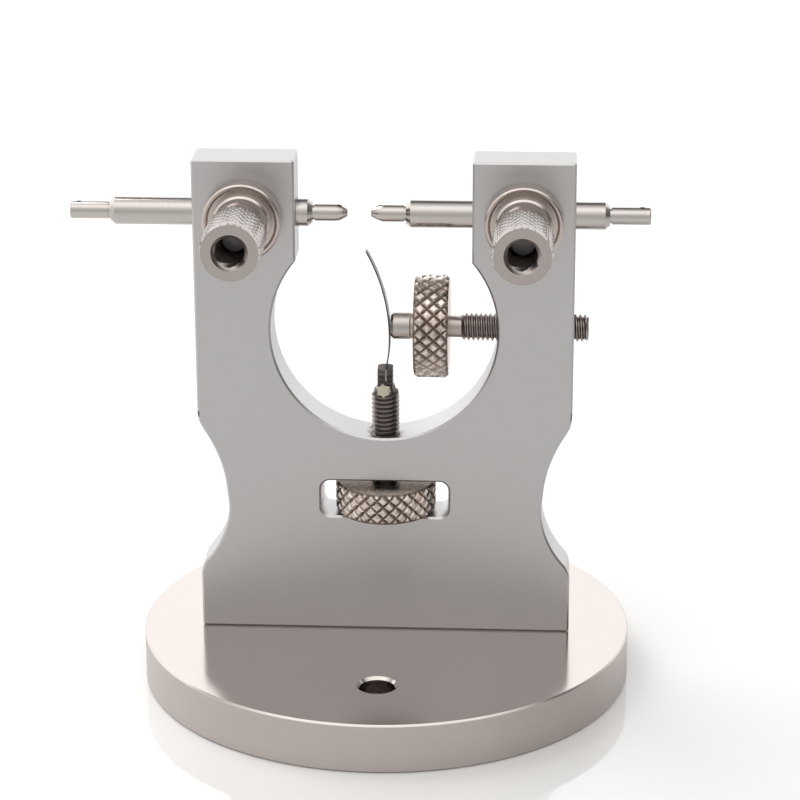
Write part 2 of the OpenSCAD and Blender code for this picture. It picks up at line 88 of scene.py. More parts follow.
# The room is a light tent. Its back wall is white low down and dark higher up, and a
# broad soft light hangs in front overhead. A black card at the right side draws the
# edges of the steel.
WALL_STOPS = (
    (0.0, (1.50, 1.49, 1.48)),
    (0.14, (1.52, 1.51, 1.50)),
    (0.33, (1.75, 1.74, 1.73)),
    (0.42, (0.20, 0.20, 0.20)),
    (0.76, (0.28, 0.275, 0.27)),
    (1.0, (0.95, 0.93, 0.91)),
)
FRONT_STOPS = (
    (0.0, (0.72, 0.705, 0.69)),
    (0.22, (0.84, 0.82, 0.805)),
    (0.36, (1.10, 1.07, 1.05)),
    (0.50, (1.50, 1.47, 1.44)),
    (0.60, (1.75, 1.72, 1.69)),
    (0.84, (1.75, 1.72, 1.69)),
    (1.0, (1.10, 1.08, 1.06)),
)
FRONT_TO_WALL = (-0.25, 0.35)
SIDE_STOPS = (
    (0.0, (1.12, 1.12, 1.12)),
    (0.84, (0.92, 0.92, 0.92)),
    (0.91, (0.22, 0.22, 0.22)),
)
KEY_LIGHT_AT = (-0.30, 0.22, 0.55)
KEY_LIGHT_SIZE = 0.4
KEY_LIGHT_WATTS = 1.6


def node_of(tree, kind, **values):
    """A new shader node with its settings."""
    made = tree.nodes.new(kind)
    for name, value in values.items():
        setattr(made, name, value)
    return made


def plug(tree, value, socket):
    """Links another node's socket, or sets a plain value."""
    if isinstance(value, bpy.types.NodeSocket):
        tree.links.new(value, socket)
    else:
        socket.default_value = value


def math_of(tree, operation, *values):
    made = node_of(tree, "ShaderNodeMath", operation=operation)
    for value, socket in zip(values, made.inputs):
        plug(tree, value, socket)
    return made.outputs[0]


def parts_of(tree, vector):
    """The X, Y and Z of a vector, as sockets."""
    made = node_of(tree, "ShaderNodeSeparateXYZ")
    plug(tree, vector, made.inputs[0])
    return made.outputs


def ramp_of(tree, factor, stops):
    made = node_of(tree, "ShaderNodeValToRGB")
    elements = made.color_ramp.elements
    while len(elements) < len(stops):
        elements.new(0.5)
    for element, (place, colour) in zip(elements, stops):
        element.position = place
        element.color = (*colour, 1)
    plug(tree, factor, made.inputs[0])
    return made.outputs[0]


def spread(tree, factor, low, high, start=0.0, end=1.0):
    """A number that goes from low to high as factor goes from start to end."""
    made = node_of(tree, "ShaderNodeMapRange")
    plug(tree, factor, made.inputs["Value"])
    plug(tree, start, made.inputs["From Min"])
    plug(tree, end, made.inputs["From Max"])
    plug(tree, low, made.inputs["To Min"])
    plug(tree, high, made.inputs["To Max"])
    return made.outputs["Result"]


def mixed(tree, factor, first, second):
    """The first colour where factor is 0 and the second where it is 1."""
    made = node_of(tree, "ShaderNodeMix", data_type="RGBA")
    plug(tree, factor, made.inputs["Factor"])
    plug(tree, first, made.inputs["A"])
    plug(tree, second, made.inputs["B"])
    return made.outputs["Result"]


def light_tent():
    """The stops go from the horizon to straight overhead, those of the sides from left to right."""
    world = bpy.data.worlds.new("light_tent")
    world.use_nodes = True
    tree = world.node_tree
    tree.nodes.clear()
    toward = parts_of(tree, node_of(tree, "ShaderNodeTexCoord").outputs["Generated"])
    rise = math_of(tree, "DIVIDE", math_of(tree, "ARCSINE", toward["Z"]), math.pi / 2)
    back = spread(tree, toward["Y"], 0.0, 1.0, *FRONT_TO_WALL)
    across = spread(tree, toward["X"], 0.0, 1.0, -1.0, 1.0)
    colour = mixed(tree, back, ramp_of(tree, rise, FRONT_STOPS), ramp_of(tree, rise, WALL_STOPS))
    room = node_of(tree, "ShaderNodeBackground")
    plug(tree, colour, room.inputs["Color"])
    plug(tree, ramp_of(tree, across, SIDE_STOPS), room.inputs["Strength"])
    out = node_of(tree, "ShaderNodeOutputWorld")
    plug(tree, room.outputs[0], out.inputs["Surface"])
    bpy.context.scene.world = world


def key_light():
    lamp = bpy.data.lights.new("soft_key", "AREA")
    lamp.shape = "DISK"
    lamp.size = KEY_LIGHT_SIZE
    lamp.energy = KEY_LIGHT_WATTS
    holder = in_scene("soft_key", lamp)
    holder.location = KEY_LIGHT_AT
    holder.rotation_euler = (-Vector(KEY_LIGHT_AT)).to_track_quat("-Z", "Y").to_euler()


light_tent()
key_light()
bpy.context.scene.view_settings.view_transform = "Standard"

# The table is a sheet of glossy white acrylic that mirrors the base faintly. It
# glows a little, so that it comes out as white as the wall.
TABLE_SIZE = 6.0
TABLE_GAP = 0.00002
TABLE_COLOUR = (0.72, 0.715, 0.71, 1)
TABLE_GLOW = 0.04
TABLE_ROUGHNESS = 0.06
TABLE_IOR = 1.6


def new_finish(name):
    material = bpy.data.materials.new(name)
    material.use_nodes = True
    return material


def nodes_of(material):
    """A finish's node tree and the inputs of its surface."""
    return material.node_tree, material.node_tree.nodes["Principled BSDF"].inputs


def white_acrylic():
    material = new_finish("white_acrylic")
    tree, sheet = nodes_of(material)
    sheet["Base Color"].default_value = TABLE_COLOUR
    sheet["Roughness"].default_value = TABLE_ROUGHNESS
    sheet["IOR"].default_value = TABLE_IOR
    sheet["Emission Color"].default_value = (1, 1, 1, 1)
    path = node_of(tree, "ShaderNodeLightPath").outputs
    direct = math_of(tree, "ADD", path["Is Camera Ray"], path["Is Glossy Ray"])
    seen = math_of(tree, "ADD", direct, path["Is Transmission Ray"])
    plug(tree, math_of(tree, "MULTIPLY", seen, TABLE_GLOW), sheet["Emission Strength"])
    return material


def table():
    half = TABLE_SIZE / 2
    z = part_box("base")[0].z - TABLE_GAP
    mesh = bpy.data.meshes.new("white_table")
    corners = [(-half, -half, z), (half, -half, z), (half, half, z), (-half, half, z)]
    mesh.from_pydata(corners, [], [(0, 1, 2, 3)])
    mesh.materials.append(white_acrylic())
    in_scene("white_table", mesh)


table()

# The base is one disc of stainless steel, faced and edged on a lathe, then polished
# over the turning marks. Fine rings round its centre and a few wiping scratches stay.
BASE_COLOUR = (0.544, 0.500, 0.475)
BASE_ROUGHNESS = 0.13
BASE_SIDE_SHARE = 0.92
BASE_SIDE_ROUGHER = 0.22
BASE_SIDE_WITHIN = 0.00006
BASE_RIM = 0.0002
BASE_RIM_ZONE = 0.0006
SMOOTH_UP_TO = math.radians(32)
JOIN_WITHIN = 0.000001
RING_PITCH = 0.00012
RING_DETAIL = 3
RING_HEIGHT = 0.00001
RING_DEPTH = 0.2
SMEAR_SCALE = 130
SMEAR_DETAIL = 4
SCRATCH_STRETCH = (60, 3200, 3200)
SCRATCH_TURN = (0, 0.5, 0.9)
SCRATCH_DETAIL = 2
SCRATCH_ABOVE = 0.74
SCRATCH_ROUGHER = 0.1
RINGS_SHARE = 0.7
TURNED_SHADES = (0.9, 1.08)
TURNED_SHEENS = (0.8, 1.2)
ALONG_X = (0, math.pi / 2, 0)
ALONG_Y = (-math.pi / 2, 0, 0)
ALONG_Z = (0, 0, 0)


def group_of(name, inputs, outputs):
    """A shader node group, with its inputs to read from and its outputs to plug into."""
    group = bpy.data.node_groups.new(name, "ShaderNodeTree")
    for way, sockets in (("INPUT", inputs), ("OUTPUT", outputs)):
        for label, kind in sockets.items():
            group.interface.new_socket(label, in_out=way, socket_type=kind)
    entry = node_of(group, "NodeGroupInput")
    result = node_of(group, "NodeGroupOutput")
    return group, entry.outputs, result.inputs


def use_group(tree, group, **values):
    made = node_of(tree, "ShaderNodeGroup", node_tree=group)
    for name, value in values.items():
        plug(tree, value, made.inputs[name])
    return made.outputs


def reach_of(tree, place):
    """Distance of a place from the Z axis."""
    flat = node_of(tree, "ShaderNodeVectorMath", operation="MULTIPLY")
    plug(tree, place, flat.inputs[0])
    plug(tree, (1, 1, 0), flat.inputs[1])
    length = node_of(tree, "ShaderNodeVectorMath", operation="LENGTH")
    plug(tree, flat.outputs[0], length.inputs[0])
    return length.outputs["Value"]


def noise_of(tree, place, scale, detail):
    made = node_of(tree, "ShaderNodeTexNoise")
    plug(tree, place, made.inputs["Vector"])
    plug(tree, scale, made.inputs["Scale"])
    plug(tree, detail, made.inputs["Detail"])
    return made.outputs["Fac"]


def stretched(tree, place, stretch, turn=(0, 0, 0)):
    """A place turned and stretched, so that noise comes out as long grains."""
    made = node_of(tree, "ShaderNodeMapping")
    plug(tree, place, made.inputs["Vector"])
    plug(tree, turn, made.inputs["Rotation"])
    plug(tree, stretch, made.inputs["Scale"])
    return made.outputs[0]


def bump_of(tree, height, distance, strength):
    made = node_of(tree, "ShaderNodeBump")
    plug(tree, height, made.inputs["Height"])
    plug(tree, distance, made.inputs["Distance"])
    plug(tree, strength, made.inputs["Strength"])
    return made.outputs[0]


def shared(tree, first, second, share):
    """A share of the first number and the rest of the second."""
    return math_of(tree, "ADD", math_of(tree, "MULTIPLY", first, share),
                   math_of(tree, "MULTIPLY", second, 1 - share))


def turning_marks_group():
    """Rings that vary with the distance from the axis and with the place along it, as a
    cutting tool leaves them."""
    group, entry, out = group_of(
        "turning_marks",
        {"Place": "NodeSocketVector", "Pitch": "NodeSocketFloat", "Depth": "NodeSocketFloat"},
        {"Mask": "NodeSocketFloat", "Normal": "NodeSocketVector"},
    )
    along = parts_of(group, entry["Place"])["Z"]
    travel = math_of(group, "ADD", reach_of(group, entry["Place"]), along)
    rings = node_of(group, "ShaderNodeTexNoise", noise_dimensions="1D")
    plug(group, math_of(group, "DIVIDE", travel, entry["Pitch"]), rings.inputs["W"])
    plug(group, 1, rings.inputs["Scale"])
    plug(group, RING_DETAIL, rings.inputs["Detail"])
    bump = bump_of(group, rings.outputs["Fac"], RING_HEIGHT, entry["Depth"])
    plug(group, rings.outputs["Fac"], out["Mask"])
    plug(group, bump, out["Normal"])
    return group


def handling_marks_group():
    """Soft smears and sparse hairline scratches on a polished face."""
    group, entry, out = group_of(
        "handling_marks",
        {"Place": "NodeSocketVector"},
        {"Smear": "NodeSocketFloat", "Scratch": "NodeSocketFloat"},
    )
    hairs = stretched(group, entry["Place"], SCRATCH_STRETCH, SCRATCH_TURN)
    hair = noise_of(group, hairs, 1, SCRATCH_DETAIL)
    plug(group, noise_of(group, entry["Place"], SMEAR_SCALE, SMEAR_DETAIL), out["Smear"])
    plug(group, math_of(group, "GREATER_THAN", hair, SCRATCH_ABOVE), out["Scratch"])
    return group


turning_marks = turning_marks_group()
handling_marks = handling_marks_group()


def tinted(tree, factor, colour, low, high):
    """The colour, from its low share where factor is 0 to its high share where it is 1."""
    dark = [part * low for part in colour]
    light = [part * high for part in colour]
    return ramp_of(tree, factor, ((0.0, dark), (1.0, light)))


def place_from(tree, centre, turn=ALONG_Z):
    """Object coordinates counted from an axis, with the axis turned to Z."""
    mapping = node_of(tree, "ShaderNodeMapping", vector_type="TEXTURE")
    plug(tree, node_of(tree, "ShaderNodeTexCoord").outputs["Object"], mapping.inputs["Vector"])
    plug(tree, centre, mapping.inputs["Location"])
    plug(tree, turn, mapping.inputs["Rotation"])
    return mapping.outputs[0]


def turned_steel(name, colour, roughness, centre, turn, depth=RING_DEPTH):
    """Steel with turning marks round an axis and a little wear from handling."""
    material = new_finish(name)
    tree, surface = nodes_of(material)
    surface["Metallic"].default_value = 1
    place = place_from(tree, centre, turn)
    marks = use_group(tree, turning_marks, Place=place, Pitch=RING_PITCH, Depth=depth)
    wear = use_group(tree, handling_marks, Place=place)
    shade = shared(tree, marks["Mask"], wear["Smear"], RINGS_SHARE)
    plug(tree, tinted(tree, shade, colour, *TURNED_SHADES), surface["Base Color"])
    rough = spread(tree, wear["Smear"], *(roughness * share for share in TURNED_SHEENS))
    scuffs = math_of(tree, "MULTIPLY", wear["Scratch"], SCRATCH_ROUGHER)
    plug(tree, math_of(tree, "ADD", rough, scuffs), surface["Roughness"])
    plug(tree, marks["Normal"], surface["Normal"])
    return material


def fed_by(socket):
    """The output that a linked input reads."""
    return socket.links[0].from_socket


def stain_and_shade(material, mask, share):
    """Takes a finish's colour to a share of itself where the mask is 1. It serves for real
    tones and stains, and for painted shade.
    """
    tree, surface = nodes_of(material)
    plain_colour = fed_by(surface["Base Color"])
    marked = node_of(tree, "ShaderNodeVectorMath", operation="SCALE")
    plug(tree, plain_colour, marked.inputs[0])
    plug(tree, share, marked.inputs["Scale"])
    plug(tree, mixed(tree, mask, plain_colour, marked.outputs[0]), surface["Base Color"])


def base_steel():
    """Polished on top and only brushed round its side."""
    material = turned_steel("base_steel", BASE_COLOUR, BASE_ROUGHNESS, (0, 0, 0), ALONG_Z)
    tree, surface = nodes_of(material)
    reach = reach_of(tree, place_from(tree, (0, 0, 0)))
    side = math_of(tree, "GREATER_THAN", reach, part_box("base")[1].x - BASE_SIDE_WITHIN)
    stain_and_shade(material, side, BASE_SIDE_SHARE)
    extra = math_of(tree, "MULTIPLY", side, BASE_SIDE_ROUGHER)
    plug(tree, math_of(tree, "ADD", fed_by(surface["Roughness"]), extra), surface["Roughness"])
    return material


def frame_copy(name):
    """A joined copy of a frame piece's own mesh, to cut a new piece from."""
    made = bmesh.new()
    made.from_mesh(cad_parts[name].data)
    bmesh.ops.remove_doubles(made, verts=made.verts, dist=JOIN_WITHIN)
    return made


def placed(name, made, material, body, node):
    """Makes a piece from a bmesh, lets it ride a body and stand for a frame piece."""
    mesh = bpy.data.meshes.new(name)
    made.to_mesh(mesh)
    made.free()
    if "custom_normal" in mesh.attributes:
        # The frame's own normals no longer fit a mesh that was cut.
        mesh.attributes.remove(mesh.attributes["custom_normal"])
    mesh.materials.append(material)
    for polygon in mesh.polygons:
        polygon.use_smooth = True
    mesh.set_sharp_from_angle(angle=SMOOTH_UP_TO)
    piece = in_scene(name, mesh)
    if body:
        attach(piece, body)
    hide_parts(node)
    return piece


def turned_base():
    """The base with its rims only broken, where the frame's are a little wider."""
    low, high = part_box("base")
    made = frame_copy("base")
    for vert in made.verts:
        flat = math.hypot(vert.co.x, vert.co.y)
        if flat > high.x - BASE_RIM_ZONE:
            end_z = high.z if vert.co.z > (low.z + high.z) / 2 else low.z
            into = 1 if end_z == low.z else -1
            if abs(vert.co.z - end_z) < BASE_SIDE_WITHIN:
                vert.co.x *= (high.x - BASE_RIM) / flat
                vert.co.y *= (high.x - BASE_RIM) / flat
            else:
                vert.co.z = end_z + into * BASE_RIM
    placed("turned_base", made, base_steel(), "stand", "base")


turned_base()

# The plate is sawn and milled from flat stainless bar and lapped to an even satin.
# Its edges keep a narrow chamfer, and the upper part of the waist on each side is
# filed a little deeper than in the frame.
PLATE_COLOUR = (0.507, 0.50, 0.50)
PLATE_ROUGHNESS = 0.35
PLATE_CHAMFER = 0.0002
PLATE_HALF = 0.02
SHARP_EDGE = math.radians(50)
FLAT_WITHIN = math.radians(0.1)
WAIST_X = 0.014
WAIST_ARC_R = 0.0141
WAIST_ARC_X = 0.03107
WAIST_ARC_Z = 0.0202
WAIST_ROUNDING = 0.0005
WAIST_START = (0.0192, 0.0212)
WAIST_END = (0.0297, 0.031)
WAIST_CUTS = (0.0299, 0.0303, 0.0307, 0.0311)
GRAIN_STRETCH = (2500, 9000, 9000)
GRAIN_DETAIL = 3
GRAIN_HEIGHT = 0.000004
GRAIN_DEPTH = 0.25
GRAIN_SHARE = 0.5
CLOUD_SCALE = 90
CLOUD_DETAIL = 5
SATIN_SHADES = (0.93, 1.06)
SATIN_SHEENS = (0.85, 1.15)


def lapped_grain_group():
    """Fine grain that runs across the plate, with soft clouds over it."""
    group, entry, out = group_of(
        "lapped_grain",
        {"Place": "NodeSocketVector"},
        {"Mask": "NodeSocketFloat", "Normal": "NodeSocketVector"},
    )
    grain = noise_of(group, stretched(group, entry["Place"], GRAIN_STRETCH), 1, GRAIN_DETAIL)
    cloud = noise_of(group, entry["Place"], CLOUD_SCALE, CLOUD_DETAIL)
    plug(group, shared(group, grain, cloud, GRAIN_SHARE), out["Mask"])
    plug(group, bump_of(group, grain, GRAIN_HEIGHT, GRAIN_DEPTH), out["Normal"])
    return group


lapped_grain = lapped_grain_group()


def satin_steel(name, colour, roughness):
    material = new_finish(name)
    tree, surface = nodes_of(material)
    surface["Metallic"].default_value = 1
    grain = use_group(tree, lapped_grain, Place=place_from(tree, (0, 0, 0)))
    plug(tree, tinted(tree, grain["Mask"], colour, *SATIN_SHADES), surface["Base Color"])
    rough = spread(tree, grain["Mask"], *(roughness * share for share in SATIN_SHEENS))
    plug(tree, rough, surface["Roughness"])
    plug(tree, grain["Normal"], surface["Normal"])
    return material


def everything(made):
    return made.verts[:] + made.edges[:] + made.faces[:]


def cut_level(made, z):
    """Cuts new edges round a piece at a height and takes nothing away."""
    bmesh.ops.bisect_plane(made, geom=everything(made), plane_co=(0, 0, z), plane_no=(0, 0, 1))


def eased(value, start, end):
    """From 0 at the start to 1 at the end, slowly at both."""
    share = min(max((value - start) / (end - start), 0), 1)
    return share ** 2 * (3 - 2 * share)


def waist_half(z):
    """Half the plate's width up the waist: the arc, rounded off where it meets the side."""
    arc = WAIST_ARC_X - math.sqrt(WAIST_ARC_R ** 2 - (z - WAIST_ARC_Z) ** 2)
    inside = PLATE_HALF - arc
    return PLATE_HALF - (inside + math.hypot(inside, WAIST_ROUNDING)) / 2


def lapped_plate():
    """The frame's plate, its waist taken in to the arc and its sharp edges chamfered."""
    made = frame_copy("plate")
    for level in WAIST_CUTS:
        cut_level(made, level)
    for vert in made.verts:
        if abs(vert.co.x) > WAIST_X and WAIST_START[0] < vert.co.z < WAIST_END[1]:
            half = abs(vert.co.x)
            weight = eased(vert.co.z, *WAIST_START) * (1 - eased(vert.co.z, *WAIST_END))
            half += (waist_half(vert.co.z) - half) * weight
            vert.co.x = math.copysign(half, vert.co.x)
    bmesh.ops.dissolve_limit(made, angle_limit=FLAT_WITHIN, verts=made.verts, edges=made.edges)
    corners = [edge for edge in made.edges if edge.calc_face_angle(0) > SHARP_EDGE]
    bmesh.ops.bevel(made, geom=corners, offset=PLATE_CHAMFER, offset_type="OFFSET", segments=1,
                    profile=0.5, affect="EDGES", clamp_overlap=False, loop_slide=False)
    steel = satin_steel("plate_satin", PLATE_COLOUR, PLATE_ROUGHNESS)
    placed("lapped_plate", made, steel, "stand", "plate")


lapped_plate()

# Small hardened screws hold the foot and guide the feeler screw. They are browned
# steel and stay where they were tightened.
SCREW_COLOUR = (0.24, 0.215, 0.20)
SCREW_ROUGHNESS = 0.3


def middle(name):
    low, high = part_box(name)
    return (Vector(low) + Vector(high)) / 2


def dress(name, material):
    """Gives a piece of the frame its finish."""
    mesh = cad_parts[name].data
    mesh.materials.clear()
    mesh.materials.append(material)


def dress_turned(name, colour, roughness, turn):
    """Gives a piece of the frame a turned finish about its own axis."""
    dress(name, turned_steel(name + "_steel", colour, roughness, middle(name), turn))


dress_turned("left_base_screw", SCREW_COLOUR, SCREW_ROUGHNESS, ALONG_Z)
dress_turned("right_base_screw", SCREW_COLOUR, SCREW_ROUGHNESS, ALONG_Z)
dress_turned("key_screw", SCREW_COLOUR, SCREW_ROUGHNESS, ALONG_Y)

# A turned collar and a bright washer lie between each arm and its clamp nut. They
# are stainless steel, faced on the lathe, and the nut has polished the washer.
COLLAR_COLOUR = (0.55, 0.49, 0.455)
COLLAR_ROUGHNESS = 0.26
WASHER_COLOUR = (0.55, 0.50, 0.475)
WASHER_ROUGHNESS = 0.2

for side in ("left", "right"):
    dress_turned(side + "_collar", COLLAR_COLOUR, COLLAR_ROUGHNESS, ALONG_Y)
    dress_turned(side + "_washer", WASHER_COLOUR, WASHER_ROUGHNESS, ALONG_Y)

# Each spindle is a ground and polished steel rod with a slender end at each side.
# It was turned between centres, so its marks run round it.
SPINDLE_COLOUR = (0.50, 0.472, 0.452)
SPINDLE_ROUGHNESS = 0.15
SIGHT_R = 0.00025
# The walls of the two sight holes are darkened with painted shade.
SIGHT_SHADE_R = 0.0002575
SIGHT_IN = 0.00082
SIGHT_OUT = 0.0009
SIGHT_SHADE_SHARE = 0.07


def beyond(tree, spot, axis):
    """A mask that is 1 past a spot, in the direction of an axis."""
    return math_of(tree, "GREATER_THAN", parts_of(tree, place_from(tree, spot))[axis], 0.0)


def sight_hole_shade(material, x, z):
    """Painted shade: darkens the wall of a sight hole that goes down to the axis to a small
    share of its colour.
    """
    tree = material.node_tree
    reach = reach_of(tree, place_from(tree, (x, 0, z)))
    inside = math_of(tree, "LESS_THAN", reach, SIGHT_SHADE_R)
    above = beyond(tree, (x, 0, z - SIGHT_R), "Z")
    stain_and_shade(material, math_of(tree, "MULTIPLY", inside, above), SIGHT_SHADE_SHARE)


def spindle(name, inward):
    low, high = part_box(name)
    centre = middle(name)
    tip, end = (high.x, low.x) if inward > 0 else (low.x, high.x)
    steel = turned_steel(name + "_steel", SPINDLE_COLOUR, SPINDLE_ROUGHNESS, centre, ALONG_X)
    sight_hole_shade(steel, tip - inward * SIGHT_IN, centre.z)
    sight_hole_shade(steel, end + inward * SIGHT_OUT, centre.z)
    dress(name, steel)


spindle("left_spindle", 1)
spindle("right_spindle", -1)

# Each draw bolt is a turned steel body that grips the spindle, with a threaded stud
# that runs forward into the nut. The thread is a real helix, cut below the crest.
BOLT_COLOUR = (0.17, 0.165, 0.16)
BOLT_ROUGHNESS = 0.32
BOLT_SHY = 0.0003
STUD_R = 0.0015
STUD_ROOTED = 0.0001
THREAD_PITCH = 0.0005
THREAD_DEPTH = 0.000307
THREAD_STEPS = 40
THREAD_SPARE = 2
ROOT_FLAT = 0.25
CREST_START = 0.5625
CREST_END = 0.6875
END_CHAMFER = 0.0003


def cut_off(made, spot, outward):
    """Cuts away what lies beyond a spot, in the outward direction, and closes the cut."""
    cut = bmesh.ops.bisect_plane(made, geom=everything(made), plane_co=spot, plane_no=outward,
                                 clear_outer=True)
    rim = [item for item in cut["geom_cut"] if isinstance(item, bmesh.types.BMEdge)]
    bmesh.ops.edgeloop_fill(made, edges=rim)


def threaded_rod(radius, length, chamfer=END_CHAMFER):
    """A closed right-hand threaded rod along Z from 0 to length. It is wound with spare
    turns past both ends, which are then cut off square and chamfered."""
    made = bmesh.new()
    root = radius - THREAD_DEPTH
    profile = ((0.0, root), (ROOT_FLAT, root), (CREST_START, radius), (CREST_END, radius))
    turns = math.ceil(length / THREAD_PITCH) + 2 * THREAD_SPARE
    columns = []
    for step in range(turns * THREAD_STEPS + 1):
        angle = 2 * math.pi * step / THREAD_STEPS
        start = THREAD_PITCH * (step / THREAD_STEPS - THREAD_SPARE)
        columns.append([
            made.verts.new((r * math.cos(angle), r * math.sin(angle), start + THREAD_PITCH * share))
            for share, r in profile
        ])
    for step in range(len(columns) - 1):
        here, after = columns[step], columns[step + 1]
        for low in range(len(profile) - 1):
            made.faces.new((here[low], after[low], after[low + 1], here[low + 1]))
        if step + THREAD_STEPS + 1 < len(columns):
            over, over_after = columns[step + THREAD_STEPS], columns[step + THREAD_STEPS + 1]
            made.faces.new((here[-1], after[-1], over_after[0], over[0]))
    cut_off(made, (0, 0, 0), (0, 0, -1))
    cut_off(made, (0, 0, length), (0, 0, 1))
    for vert in made.verts:
        edge = min(vert.co.z, length - vert.co.z)
        reach = radius - max(0, chamfer - edge)
        flat = math.hypot(vert.co.x, vert.co.y)
        if flat > reach:
            vert.co.x *= reach / flat
            vert.co.y *= reach / flat
    return made


def lay(made, spot, axis):
    """Moves a piece made along Z to a spot and turns it a quarter round X or Y."""
    move = Matrix.Translation(spot) @ Matrix.Rotation(math.pi / 2, 4, axis)
    bmesh.ops.transform(made, matrix=move, verts=made.verts)


def add_mesh(made, other):
    """Adds another bmesh to the first one as a shell of its own."""
    scrap = bpy.data.meshes.new("scrap")
    other.to_mesh(scrap)
    other.free()
    made.from_mesh(scrap)
    bpy.data.meshes.remove(scrap)


def draw_bolt(side):
    name = side + "_bolt"
    centre = middle(name)
    body_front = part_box("plate")[0].y + BOLT_SHY
    rooted = body_front + STUD_ROOTED
    made = frame_copy(name)
    cut_off(made, (0, body_front, 0), (0, -1, 0))
    stud = threaded_rod(STUD_R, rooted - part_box(name)[0].y)
    lay(stud, (centre.x, rooted, centre.z), "X")
    add_mesh(made, stud)
    steel = turned_steel(name + "_steel", BOLT_COLOUR, BOLT_ROUGHNESS, centre, ALONG_Y)
    placed(side + "_draw_bolt", made, steel, side + "_drawer", name)


for side in ("left", "right"):
    draw_bolt(side)

# Each clamp nut is a hollow turned thumb nut with a plain neck behind and a fine
# diamond knurl rolled round its grip. The tapped bore shows at its mouth.
NUT_COLOUR = (0.41, 0.375, 0.357)
NUT_ROUGHNESS = 0.2
NUT_CELL = 0.0004
NUT_ROW = 0.00057
NUT_KNURL_DEPTH = 0.00013
NUT_NECK_R = 0.00255
NUT_NECK_L = 0.0035
NUT_EDGE = 0.0002
NUT_MOUTH = 0.00038
NUT_MOUTH_L = 0.00036
NUT_BORE_R = 0.00152
# Painted shade darkens the tapped bore and the inner part of its mouth.
NUT_BORE_SHADE_SHARE = 0.75
BORE_SHADE_START = 0.1
BORE_SHADE_END = 0.4
TAP_DEPTH = 0.0002
TAP_HALF = 0.38
TAP_RINGS = 6


def ring_of(made, radii, z):
    """A ring of points round Z, one for each radius."""
    count = len(radii)
    angles = [2 * math.pi * i / count for i in range(count)]
    return [made.verts.new((r * math.cos(a), r * math.sin(a), z)) for r, a in zip(radii, angles)]


def join_rings(made, lower, upper, fold=None):
    """Fills between two rings, in triangles folded by turns where a fold is given."""
    count = len(lower)
    for i in range(count):
        here, after = lower[i], lower[(i + 1) % count]
        over, over_after = upper[i], upper[(i + 1) % count]
        if fold is None:
            made.faces.new((here, after, over_after, over))
        elif (i + fold) % 2:
            made.faces.new((here, after, over_after))
            made.faces.new((here, over_after, over))
        else:
            made.faces.new((here, after, over))
            made.faces.new((after, over_after, over))


def tap_radius(angle_share, z):
    """Radius of the tapped bore: a helical groove cut outward from the bore, with its half
    width as a share of the pitch."""
    from_groove = abs((z / THREAD_PITCH - angle_share) % 1 - 0.5)
    return NUT_BORE_R + TAP_DEPTH * max(0, 1 - from_groove / TAP_HALF)


def nut_mesh(grip_r, length):
    """A closed nut along Z from 0 to length, its neck first."""
    made = bmesh.new()
    around = 2 * round(math.pi * grip_r / NUT_CELL)
    grip_l = length - NUT_NECK_L
    rows = 2 * round(grip_l / NUT_ROW / 2)

    def even_ring(radius, z):
        return ring_of(made, [radius] * around, z)

    back = even_ring(NUT_BORE_R, 0)
    below = back
    for radius, z in ((NUT_NECK_R, 0), (NUT_NECK_R, NUT_NECK_L), (grip_r - NUT_EDGE, NUT_NECK_L)):
        ring = even_ring(radius, z)
        join_rings(made, below, ring)
        below = ring
    for row in range(1, rows):
        z = NUT_NECK_L + grip_l * row / rows
        reach = grip_r - max(0, NUT_EDGE - min(z - NUT_NECK_L, length - z))
        radii = [min(reach, grip_r - NUT_KNURL_DEPTH * ((i + row) % 2)) for i in range(around)]
        ring = ring_of(made, radii, z)
        join_rings(made, below, ring, row - 1)
        below = ring
    front = even_ring(grip_r - NUT_EDGE, length)
    join_rings(made, below, front, rows - 1)
    below = even_ring(NUT_BORE_R + NUT_MOUTH, length)
    join_rings(made, front, below)
    steps = round(length / THREAD_PITCH * TAP_RINGS)
    for step in range(steps):
        z = (length - NUT_MOUTH_L) * (1 - step / steps)
        ring = ring_of(made, [tap_radius(i / around, z) for i in range(around)], z)
        join_rings(made, below, ring)
        below = ring
    join_rings(made, below, back)
    return made


def clamp_nut(side):
    name = side + "_nut"
    low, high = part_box(name)
    centre = middle(name)
    made = nut_mesh((high.x - low.x) / 2, high.y - low.y)
    lay(made, (centre.x, high.y, centre.z), "X")
    steel = turned_steel(name + "_steel", NUT_COLOUR, NUT_ROUGHNESS, centre, ALONG_Y)
    tree = steel.node_tree
    reach = reach_of(tree, place_from(tree, centre, ALONG_Y))
    # Painted shade in the bore and at the inner edge of the mouth.
    bore_shade_radii = [NUT_BORE_R + share * NUT_MOUTH for share in (BORE_SHADE_START, BORE_SHADE_END)]
    stain_and_shade(steel, spread(tree, reach, 1.0, 0.0, *bore_shade_radii), NUT_BORE_SHADE_SHARE)
    placed(side + "_clamp_nut", made, steel, side + "_clamp", name)


for side in ("left", "right"):
    clamp_nut(side)

# The lift wheel sits captive in the window. It is steel with a coarse diamond
# knurl, and painted shade darkens the grooves between the bright flats.
WHEEL_COLOUR = (0.66, 0.585, 0.538)
WHEEL_ROUGHNESS = 0.27
GROOVE_SHADE_COLOUR = (0.17, 0.13, 0.105)
KNURL_DEPTH = 0.00024
FACE_FROM = 1.35
GROOVE_SHADE_CURVE = 1.6
SPECK_SCALE = 2300
SPECK_DETAIL = 4
SPECK_SHARES = (1.12, 0.68)
SPECK_BAND = (0.40, 0.62)


